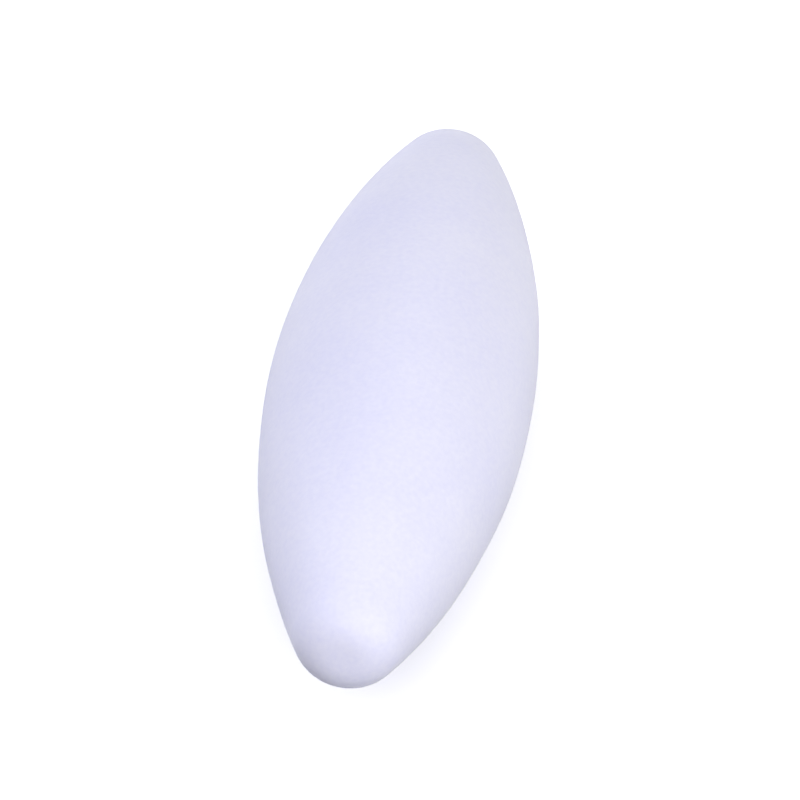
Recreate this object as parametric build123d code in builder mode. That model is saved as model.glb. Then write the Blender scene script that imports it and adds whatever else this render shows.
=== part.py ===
"""Oval magnetic stir bar: a rod magnet sealed inside a one-piece PTFE jacket.

The bar lies on its belly, as it does on the floor of a flask. The origin is the centre of the bar,
on its turning axis and midway between its ends. +X runs along that axis and +Z points up.
All sizes are in millimetres.
"""

import os

from build123d import *

# Outside of the jacket: a spindle whose flank is one circular arc from blunt end to blunt end
bar_length = 20.0  # over both end faces
belly_diameter = 6.0  # widest section, midway between the ends
end_diameter = 1.9  # blunt end, out to the corner that the rounding takes off
end_rounding = 1.0  # radius of the nose, between the flank and the small end face

# Walls that seal the magnet in
end_wall = 4.0  # from each end face to the magnet's pocket
belly_wall = 1.5  # round the pocket at the widest section

# Rod magnet, which fills its pocket but for the line where the sintered jacket meets the metal
magnet_chamfer = 0.2  # broken corners of the rod
pocket_clearance = 0.02  # all round the rod

half_length = bar_length / 2
belly_radius = belly_diameter / 2
end_radius = end_diameter / 2
pocket_length = bar_length - 2 * end_wall
pocket_radius = belly_radius - belly_wall


def rod_half_section(clearance):
    """Half of the pocket's lengthwise section, on the X axis and less a clearance all round."""
    with BuildSketch(Plane.XY) as rod_section:
        Rectangle(
            pocket_length - 2 * clearance,
            pocket_radius - clearance,
            align=(Align.CENTER, Align.MIN),
        )
        rim_corners = rod_section.vertices().group_by(Axis.Y)[-1]
        chamfer(rim_corners, magnet_chamfer)
    return rod_section.sketch


# Jacket: half of its section, with rounded end corners, turned about X and then hollowed
with BuildPart() as jacket:
    with BuildSketch(Plane.XY) as jacket_section:
        with BuildLine():
            flank = ThreePointArc(
                (-half_length, end_radius),
                (0, belly_radius),
                (half_length, end_radius),
            )
            Polyline(flank @ 1, (half_length, 0), (-half_length, 0), flank @ 0)
        make_face()
        end_corners = jacket_section.vertices().group_by(Axis.Y)[-1]
        fillet(end_corners, end_rounding)
    revolve(axis=Axis.X)
    revolve(rod_half_section(0), axis=Axis.X, mode=Mode.SUBTRACT)
jacket.part.label = "ptfe_jacket"

# Rod magnet, lying in the pocket on the bar's own axis
with BuildPart() as magnet:
    revolve(rod_half_section(pocket_clearance), axis=Axis.X)
magnet.part.label = "rod_magnet"

os.makedirs("parts", exist_ok=True)
export_step(jacket.part, "parts/ptfe_jacket.step")
export_step(magnet.part, "parts/rod_magnet.step")
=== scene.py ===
# %% [markdown]
# # A magnetic stir bar
# A stir bar is a rod magnet sealed in white PTFE, a slippery plastic that hardly any chemical attacks. It
# lies on the floor of a flask, and a second magnet that turns under the flask spins it. This is the oval
# kind: its flank bulges like an olive, so it touches the glass at one point only and spins freely. The
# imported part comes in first, in metres. It gives the frame, the length and the belly, and it is never
# moved or reshaped. The jacket is then modelled again over it with a finer skin, and the magnet only gets a
# finish.

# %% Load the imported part
from math import asin, cos, pi, radians, sin, sqrt

import bpy
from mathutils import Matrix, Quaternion, Vector


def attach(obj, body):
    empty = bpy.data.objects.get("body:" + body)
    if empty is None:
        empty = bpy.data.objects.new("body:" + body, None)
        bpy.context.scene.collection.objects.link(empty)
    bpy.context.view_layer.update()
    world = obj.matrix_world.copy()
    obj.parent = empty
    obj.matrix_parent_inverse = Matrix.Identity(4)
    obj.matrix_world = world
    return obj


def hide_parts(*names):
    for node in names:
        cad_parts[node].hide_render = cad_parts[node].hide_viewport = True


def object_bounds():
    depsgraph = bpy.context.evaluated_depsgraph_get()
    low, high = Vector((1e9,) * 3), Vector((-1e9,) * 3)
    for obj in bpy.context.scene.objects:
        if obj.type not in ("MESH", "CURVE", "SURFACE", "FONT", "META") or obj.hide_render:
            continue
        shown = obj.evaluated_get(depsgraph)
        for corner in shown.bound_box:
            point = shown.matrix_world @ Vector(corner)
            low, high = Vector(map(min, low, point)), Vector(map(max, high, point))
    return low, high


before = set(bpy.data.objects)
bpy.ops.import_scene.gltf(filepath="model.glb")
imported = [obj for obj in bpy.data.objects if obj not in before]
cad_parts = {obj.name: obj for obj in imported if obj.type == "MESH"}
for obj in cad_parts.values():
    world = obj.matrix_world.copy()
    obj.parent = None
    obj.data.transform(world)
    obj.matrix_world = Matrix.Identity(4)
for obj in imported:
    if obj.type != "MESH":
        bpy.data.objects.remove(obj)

MM = 0.001
cad_low, cad_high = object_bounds()
print("packed box, mm:", [round(side / MM, 3) for side in cad_high - cad_low])

# %% [markdown]
# ## The camera
# The picture was taken from some way off, looking down on the bar and almost along it, so that one blunt
# end points at the lens. A camera far away with a long lens gives that flat perspective. It could be placed
# by eye in the viewport. Here its place comes from two angles and a distance, and its turn from the line
# back to the bar with a small roll about that line, because three angles are easy to match to a picture one
# after the other.

# %% Camera
HALF_LENGTH = cad_high.x
VIEW_AZIMUTH = radians(-84.4)  # from -Y towards +X: the end at -X points at the lens
VIEW_ELEVATION = radians(34.6)
VIEW_ROLL = radians(2.6)
LENGTHS_AWAY = 11.6  # camera to bar, in bar lengths
FRAME_SHARE = 1.118  # the bar's length, as seen square on, over the width of the picture


def towards(azimuth, elevation):
    """Unit vector from the bar to a place at these angles."""
    level = cos(elevation)
    return Vector((sin(azimuth) * level, -cos(azimuth) * level, sin(elevation)))


back = towards(VIEW_AZIMUTH, VIEW_ELEVATION)
bpy.ops.object.camera_add(location=back * LENGTHS_AWAY * 2 * HALF_LENGTH)
camera = bpy.context.object
camera.rotation_mode = "QUATERNION"
camera.rotation_quaternion = back.to_track_quat("Z", "Y") @ Quaternion((0, 0, 1), VIEW_ROLL)
camera.data.lens = camera.data.sensor_width * FRAME_SHARE * LENGTHS_AWAY
camera.data.clip_start = HALF_LENGTH
bpy.context.scene.camera = camera
bpy.context.scene.view_settings.view_transform = "Standard"
print("camera", round(camera.location.length / MM), "mm away, lens", round(camera.data.lens), "mm")

# %% [markdown]
# ## The jacket's outline
# The real jacket is one piece with a round section everywhere, so half of its outline, turned about the
# long axis, gives the whole skin. That outline is one long flank arc between two small nose arcs, with a
# tiny flat at each end. Its points could be typed in, but then nobody could see what shape they mean. A few
# sizes say it all: from the belly, the blunt end and the rounding, the centres of the arcs follow by the
# rule that arcs which run into each other without a kink have their centres in line with the point where
# they meet.

# %% Sizes of the jacket
BELLY_RADIUS = cad_high.y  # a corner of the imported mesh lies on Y, and on Z it stops microns short
END_RADIUS = 0.95 * MM  # blunt end, out to the corner that the rounding takes off
END_ROUNDING = 1.0 * MM

bulge = BELLY_RADIUS - END_RADIUS
flank_radius = (HALF_LENGTH**2 + bulge**2) / (2 * bulge)
flank_centre_z = BELLY_RADIUS - flank_radius
nose_reach = flank_radius - END_ROUNDING  # from the flank's centre to the nose's
nose_x = HALF_LENGTH - END_ROUNDING
nose_z = flank_centre_z + sqrt(nose_reach**2 - nose_x**2)
flank_half_angle = asin(nose_x / nose_reach)
nose_angle = pi / 2 - flank_half_angle
print("flank radius", round(flank_radius / MM, 2), "mm, end flat", round(2 * nose_z / MM, 2), "mm across")

# %% [markdown]
# ## Drawing with one vertex
# An outline can be drawn as a curve object and turned with a Screw modifier. Drawing it with a single
# vertex in edit mode is as quick and leaves nothing to convert: extruding the vertex makes a straight edge,
# spinning it about a centre makes an arc, and each time the new end stays selected for the next stroke. The
# vertex itself is a small plane whose corners are merged, because none of Blender's primitives is a single
# point.

# %% Start an outline


def start_outline(name, point):
    """Starts a piece as one selected vertex, and stays in edit mode."""
    bpy.ops.object.select_all(action="DESELECT")
    bpy.ops.mesh.primitive_plane_add(size=END_ROUNDING, location=point)
    bpy.ops.object.transform_apply()
    piece = bpy.context.object
    piece.name = piece.data.name = name
    bpy.ops.object.mode_set(mode="EDIT")
    bpy.ops.mesh.select_mode(type="VERT")
    bpy.ops.mesh.select_all(action="SELECT")
    bpy.ops.mesh.merge(type="CENTER")
    return piece


jacket = start_outline("ptfe_jacket_skin", (-HALF_LENGTH, 0, 0))
jacket.update_from_editmode()
print("outline starts with", len(jacket.data.vertices), "vertex at the near end")

# %% Nose, flank and nose
NOSE_STEPS = 12
FLANK_STEPS = 120


def draw_line(along_x, along_z):
    """Pulls the selected end vertex out into a straight edge."""
    bpy.ops.mesh.extrude_vertices_move(TRANSFORM_OT_translate={"value": (along_x, 0, along_z)})


def draw_arc(centre_x, centre_z, angle, steps):
    """Spins the selected end vertex about a centre, over the top from -X to +X."""
    bpy.ops.mesh.spin(steps=steps, angle=angle, center=(centre_x, 0, centre_z), axis=(0, -1, 0))


draw_line(0, nose_z)
draw_arc(-nose_x, nose_z, nose_angle, NOSE_STEPS)
draw_arc(0, flank_centre_z, 2 * flank_half_angle, FLANK_STEPS)
draw_arc(nose_x, nose_z, nose_angle, NOSE_STEPS)
draw_line(0, -nose_z)
jacket.update_from_editmode()
print("outline has", len(jacket.data.vertices), "vertices")

# %% [markdown]
# ## Turning the skin
# The section is round all along the bar, so the outline is spun a full turn about the long axis. Spin
# closes a full turn by itself. It doesn't know that the two ends of the outline sit on the axis, though, and
# leaves a copy of each end for every step, all in one spot. These doubles are merged. Only then are the
# normals worked out, because a shell that isn't closed has no inside. A subdivided cylinder would also do,
# but its flank would only come near to the arc.

# %% Turn the outline
TURN_STEPS = 144
MERGE_WITHIN = 0.001 * MM


def turn_outline(steps):
    """Turns the outline about the long axis, closes its two poles, and leaves edit mode."""
    bpy.ops.mesh.select_all(action="SELECT")
    bpy.ops.mesh.spin(steps=steps, angle=2 * pi, center=(0, 0, 0), axis=(1, 0, 0))
    bpy.ops.mesh.select_all(action="SELECT")
    bpy.ops.mesh.remove_doubles(threshold=MERGE_WITHIN)
    bpy.ops.mesh.normals_make_consistent(inside=False)
    bpy.ops.object.mode_set(mode="OBJECT")


turn_outline(TURN_STEPS)
print("skin:", len(jacket.data.vertices), "vertices,", len(jacket.data.polygons), "faces")
print("box, mm:", [round(side / MM, 4) for side in jacket.dimensions])

# %% [markdown]
# ## A skin that isn't perfect
# PTFE shrinks as it is sintered, and not quite evenly, so a real flank is true only to a few hundredths of
# a millimetre and its shading drifts a little along its length. That could be sculpted by hand. A Displace
# modifier that reads a soft cloud texture does it by number and gives the same result each time. Its middle
# level is 1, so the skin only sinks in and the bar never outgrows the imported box.

# %% Waviness of the skin
WAVE_DEPTH = 0.05 * MM  # deepest hollow
WAVE_SPAN = 4.0 * MM  # from one swell to the next

clouds = bpy.data.textures.new("waviness", type="CLOUDS")
clouds.noise_scale = WAVE_SPAN
clouds.noise_depth = 1
hollows = jacket.modifiers.new("waviness", "DISPLACE")
hollows.texture = clouds
hollows.texture_coords = "LOCAL"
hollows.mid_level = 1.0
hollows.strength = WAVE_DEPTH
bpy.ops.object.modifier_apply(modifier=hollows.name)
print("box with its waviness, mm:", [round(side / MM, 4) for side in jacket.dimensions])

# %% [markdown]
# ## The pocket
# The jacket is sealed all round the magnet, so inside it has a pocket in the shape of the rod, with its
# corners broken. It is hidden, but PTFE lets light some way in, and a model that is cut open should show a
# wall of the real thickness. A Boolean could cut the pocket out. It doesn't touch the skin anywhere,
# though, so a second closed shell whose faces point inwards gives the same hollow when the two are joined,
# and leaves the skin's mesh as it is.

# %% Pocket for the magnet
POCKET_HALF_LENGTH = 6.0 * MM
POCKET_RADIUS = 1.5 * MM
POCKET_CHAMFER = 0.2 * MM
POCKET_STEPS = 48

pocket = start_outline("magnet_pocket", (-POCKET_HALF_LENGTH, 0, 0))
draw_line(0, POCKET_RADIUS - POCKET_CHAMFER)
draw_line(POCKET_CHAMFER, POCKET_CHAMFER)
draw_line(2 * (POCKET_HALF_LENGTH - POCKET_CHAMFER), 0)
draw_line(POCKET_CHAMFER, -POCKET_CHAMFER)
draw_line(0, POCKET_CHAMFER - POCKET_RADIUS)
turn_outline(POCKET_STEPS)
bpy.ops.object.mode_set(mode="EDIT")
bpy.ops.mesh.select_all(action="SELECT")
bpy.ops.mesh.flip_normals()
bpy.ops.object.mode_set(mode="OBJECT")
belly_wall = BELLY_RADIUS - POCKET_RADIUS
print("pocket:", len(pocket.data.polygons), "faces, wall at the belly", round(belly_wall / MM, 2), "mm")

# %% Join the skin and its pocket
SMOOTH_UP_TO = radians(35)  # the pocket's chamfers stay crisp, and everything outside is smooth

jacket.select_set(True)
bpy.context.view_layer.objects.active = jacket
bpy.ops.object.join()
bpy.ops.object.shade_smooth_by_angle(angle=SMOOTH_UP_TO)

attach(jacket, "root")
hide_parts("ptfe_jacket")
print(jacket.name, "has", sum(len(face.vertices) - 2 for face in jacket.data.polygons), "triangles")

# %% [markdown]
# ## Colours and nodes
# Colours are written as the hex values that a paint program shows. Blender's shaders add up light, which
# isn't spaced like those values, so one function turns a hex colour to linear light. A second one adds a
# node together with its settings and links. Materials could be built by hand in the Shader editor. Written
# out like this, each one reads from top to bottom as a recipe.

# %% From hex to light


def linear(hex_colour):
    """The linear light of an sRGB hex colour, with full opacity."""
    parts = [int(hex_colour[i:i + 2], 16) / 255 for i in (1, 3, 5)]
    return [c / 12.92 if c <= 0.04045 else ((c + 0.055) / 1.055) ** 2.4 for c in parts] + [1.0]


print("middle grey #808080 is", round(linear("#808080")[0], 3), "of white in light")

# %% [markdown]
# ## White sintered PTFE
# The jacket is PTFE powder, pressed and baked until its grains fuse. It holds no pigment: it is white
# because light scatters in it a little way under the surface. To the eye that gives soft shading with no
# hard edge to the shade, a cool white with a faint powdery grain that drifts from place to place, and a
# satin skin with hardly any shine, because PTFE bends light less than almost any other plastic. A white
# diffuse paint would look like chalk. Here the colour goes through subsurface scattering, and noises of
# three sizes give the drift, the polish and the grain.

# %% Start the PTFE


def start_material(name):
    """A new material and its node tree, emptied."""
    material = bpy.data.materials.new(name)
    material.use_nodes = True
    material.node_tree.nodes.clear()
    return material, material.node_tree


def add_node(tree, kind, inputs, **options):
    """Adds a node, sets its options, and gives each named input a value or a link."""
    made = tree.nodes.new(kind)
    for name, value in options.items():
        setattr(made, name, value)
    for name, value in inputs.items():
        if isinstance(value, bpy.types.NodeSocket):
            tree.links.new(value, made.inputs[name])
        else:
            made.inputs[name].default_value = value
    return made


ptfe, tree = start_material("white_sintered_ptfe")
place = add_node(tree, "ShaderNodeTexCoord", {}).outputs["Object"]
print("started", ptfe.name)

# %% Tint of the PTFE
MOTTLE_SPAN = 3.0 * MM  # patches that shrank a little more or less
GRAIN_SPAN = 0.12 * MM  # fused powder grains, drawn coarser than the real 0.03 mm so that they show
GRAIN_SHARE = 0.5  # of the tint; the mottle has the rest

mottle = add_node(tree, "ShaderNodeTexNoise", {"Vector": place, "Scale": 1 / MOTTLE_SPAN, "Detail": 2.0})
grain = add_node(tree, "ShaderNodeTexNoise", {"Vector": place, "Scale": 1 / GRAIN_SPAN, "Detail": 1.0})
powdery = add_node(
    tree, "ShaderNodeMix", {"Factor": GRAIN_SHARE, "A": mottle.outputs["Fac"], "B": grain.outputs["Fac"]}
)
tint = add_node(
    tree,
    "ShaderNodeMix",
    {"Factor": powdery.outputs["Result"], "A": linear("#DDDDF6"), "B": linear("#F2F1FF")},
    data_type="RGBA",
)
print("tint drifts over", MOTTLE_SPAN / MM, "mm and grains are", round(GRAIN_SPAN / MM, 2), "mm")

# %% Skin of the PTFE
RUB_SPAN = 1.2 * MM  # patches that the flask's floor has polished
GRAIN_HEIGHT = 0.002 * MM
LIGHT_DEPTH = 0.3 * MM  # how far light wanders under the skin

rub = add_node(tree, "ShaderNodeTexNoise", {"Vector": place, "Scale": 1 / RUB_SPAN, "Detail": 2.0})
polish = add_node(
    tree,
    "ShaderNodeMapRange",
    {"Value": rub.outputs["Fac"], "From Min": 0.3, "From Max": 0.7, "To Min": 0.4, "To Max": 0.52},
)
bump = add_node(tree, "ShaderNodeBump", {"Height": grain.outputs["Fac"], "Distance": GRAIN_HEIGHT})
skin = add_node(
    tree,
    "ShaderNodeBsdfPrincipled",
    {
        "Base Color": tint.outputs["Result"],
        "Roughness": polish.outputs["Result"],
        "IOR": 1.35,
        "Subsurface Weight": 1.0,
        "Subsurface Radius": (1.0, 1.0, 1.0),
        "Subsurface Scale": LIGHT_DEPTH,
        "Normal": bump.outputs["Normal"],
    },
)
add_node(tree, "ShaderNodeOutputMaterial", {"Surface": skin.outputs["BSDF"]})
jacket.data.materials.clear()
jacket.data.materials.append(ptfe)
print(ptfe.name, "has", len(tree.nodes), "nodes")

# %% [markdown]
# ## Ground magnet alloy
# The rod inside is cast from aluminium, nickel, cobalt and iron and then ground between two wheels while it
# turns. To the eye that is a grey metal, a little darker in the middle of each coarse crystal of the
# casting, with fine rings left by the grinding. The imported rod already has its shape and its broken
# corners, so it only gets a material. The rings could be a wave texture, but that is too regular for grit:
# a noise squeezed along the rod and stretched round it gives rings of uneven depth.

# %% Rings and crystals of the alloy
RING_SPACING = 0.05 * MM  # from one grinding mark to the next
RING_LENGTH = 3.0 * MM  # before a mark fades out round the rod
CRYSTAL_SPAN = 0.6 * MM

alloy, tree = start_material("ground_cast_magnet_alloy")
place = add_node(tree, "ShaderNodeTexCoord", {}).outputs["Object"]
squeezed = add_node(
    tree,
    "ShaderNodeMapping",
    {"Vector": place, "Scale": (1 / RING_SPACING, 1 / RING_LENGTH, 1 / RING_LENGTH)},
)
rings = add_node(
    tree, "ShaderNodeTexNoise", {"Vector": squeezed.outputs["Vector"], "Scale": 1.0, "Detail": 2.0}
)
crystals = add_node(tree, "ShaderNodeTexVoronoi", {"Vector": place, "Scale": 1 / CRYSTAL_SPAN})
grey = add_node(
    tree,
    "ShaderNodeMix",
    {"Factor": crystals.outputs["Distance"], "A": linear("#8E8B88"), "B": linear("#A5A29E")},
    data_type="RGBA",
)
print("rings", round(RING_SPACING / MM, 2), "mm apart, crystals", round(CRYSTAL_SPAN / MM, 2), "mm across")

# %% Finish of the alloy
RING_DEPTH = 0.001 * MM

dulling = add_node(tree, "ShaderNodeMapRange", {"Value": rings.outputs["Fac"], "To Min": 0.3, "To Max": 0.5})
bump = add_node(tree, "ShaderNodeBump", {"Height": rings.outputs["Fac"], "Distance": RING_DEPTH})
metal = add_node(
    tree,
    "ShaderNodeBsdfPrincipled",
    {
        "Base Color": grey.outputs["Result"],
        "Metallic": 1.0,
        "Roughness": dulling.outputs["Result"],
        "Normal": bump.outputs["Normal"],
    },
)
add_node(tree, "ShaderNodeOutputMaterial", {"Surface": metal.outputs["BSDF"]})
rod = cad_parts["rod_magnet"]
rod.data.materials.clear()
rod.data.materials.append(alloy)
print(alloy.name, "has", len(tree.nodes), "nodes and goes on", rod.name)

# %% [markdown]
# ## The floor
# The bar lies on a sheet of plain white paper under so much light that the paper shows no tone of its own,
# only a faint shadow. Lamps strong enough for that would also bleach the bar. The paper's material
# therefore asks the Light Path node who is looking: the camera and mirror-like rays see white paper that
# glows a little, and the light that bounces off the paper on to the bar comes from a grey one, so that the
# underside of the bar stays in shade.

# %% Sheet under the bar
FLOOR_SIZE = 1.0  # metres

bpy.ops.object.select_all(action="DESELECT")
bpy.ops.mesh.primitive_plane_add(size=FLOOR_SIZE, location=(0, 0, -BELLY_RADIUS))
floor = bpy.context.object
floor.name = floor.data.name = "white_floor"
print("floor lies", round(-floor.location.z / MM, 3), "mm under the long axis")

# %% White paper


def seen_directly(tree):
    """1 for rays from the camera, off shiny things or through clear ones, and 0 for bounced light."""
    path = add_node(tree, "ShaderNodeLightPath", {}).outputs
    mirrored = add_node(
        tree,
        "ShaderNodeMath",
        {0: path["Is Glossy Ray"], 1: path["Is Transmission Ray"]},
        operation="MAXIMUM",
    )
    either = add_node(
        tree,
        "ShaderNodeMath",
        {0: path["Is Camera Ray"], 1: mirrored.outputs["Value"]},
        operation="MAXIMUM",
    )
    return either.outputs["Value"]


PAPER_GLOW = 0.36  # enough for pure white, and little enough to keep the shadow

paper, tree = start_material("white_paper")
lit = add_node(tree, "ShaderNodeBsdfDiffuse", {"Color": linear("#FFFFFF")})
glow = add_node(tree, "ShaderNodeEmission", {"Color": linear("#FFFFFF"), "Strength": PAPER_GLOW})
white = add_node(tree, "ShaderNodeAddShader", {0: lit.outputs["BSDF"], 1: glow.outputs["Emission"]})
grey = add_node(tree, "ShaderNodeBsdfDiffuse", {"Color": linear("#808084")})
either = add_node(
    tree, "ShaderNodeMixShader", {0: seen_directly(tree), 1: grey.outputs["BSDF"], 2: white.outputs["Shader"]}
)
add_node(tree, "ShaderNodeOutputMaterial", {"Surface": either.outputs["Shader"]})
floor.data.materials.append(paper)
print(paper.name, "has", len(tree.nodes), "nodes")

# %% [markdown]
# ## The room
# Small white things are often pictured in a tent of white cloth, which sends light from all sides. The
# world stands for that tent: an even, slightly cool light at about two thirds of full white. A picture of a
# studio wrapped round the scene could do the same, but it would have to be read from a file. Behind the
# floor's far edge the camera sees the world itself, and there it is plain white.

# %% World
TENT_SHARE = 0.64  # of full white

world = bpy.data.worlds.new("cloth_tent")
bpy.context.scene.world = world
world.use_nodes = True
tree = world.node_tree
tree.nodes.clear()
cloth = add_node(tree, "ShaderNodeBackground", {"Color": linear("#F6F7FF"), "Strength": TENT_SHARE})
blank = add_node(tree, "ShaderNodeBackground", {"Color": linear("#FFFFFF"), "Strength": 1.0})
either = add_node(
    tree,
    "ShaderNodeMixShader",
    {0: seen_directly(tree), 1: cloth.outputs["Background"], 2: blank.outputs["Background"]},
)
add_node(tree, "ShaderNodeOutputWorld", {"Surface": either.outputs["Shader"]})
print(world.name, "gives", TENT_SHARE, "of full white from all sides")

# %% [markdown]
# ## The lamps
# Three soft lamps outside the tent give the bar its form: one over the near end, a low one on the right
# that lights the right flank and the nose, and a bluish one on the left, a little behind. A lamp's watts
# say little about how bright it looks, because that also depends on its distance. So each lamp is set by
# its share: how much of full white it alone would give a white sheet that faces it at the bar.

# %% Lamps
LAMP_DISTANCE = 0.4  # metres
LAMP_SIZE = 0.2  # metres along each side


def add_lamp(name, azimuth, elevation, share, colour):
    """A square lamp aimed at the bar, whose light on a sheet facing it is this share of full white."""
    back = towards(radians(azimuth), radians(elevation))
    bpy.ops.object.light_add(type="AREA", location=back * LAMP_DISTANCE)
    lamp = bpy.context.object
    lamp.name = lamp.data.name = name
    lamp.rotation_mode = "QUATERNION"
    lamp.rotation_quaternion = back.to_track_quat("Z", "Y")
    lamp.data.size = LAMP_SIZE
    lamp.data.energy = share * pi**2 * LAMP_DISTANCE**2
    lamp.data.color = linear(colour)[:3]
    print(name, "lamp:", round(lamp.data.energy, 3), "W")


add_lamp("near", -88, 36, 0.28, "#F8F8FF")
add_lamp("right", -40, 18, 0.42, "#F8F8FF")
add_lamp("rear_left", 160, 30, 0.28, "#DDE0FF")
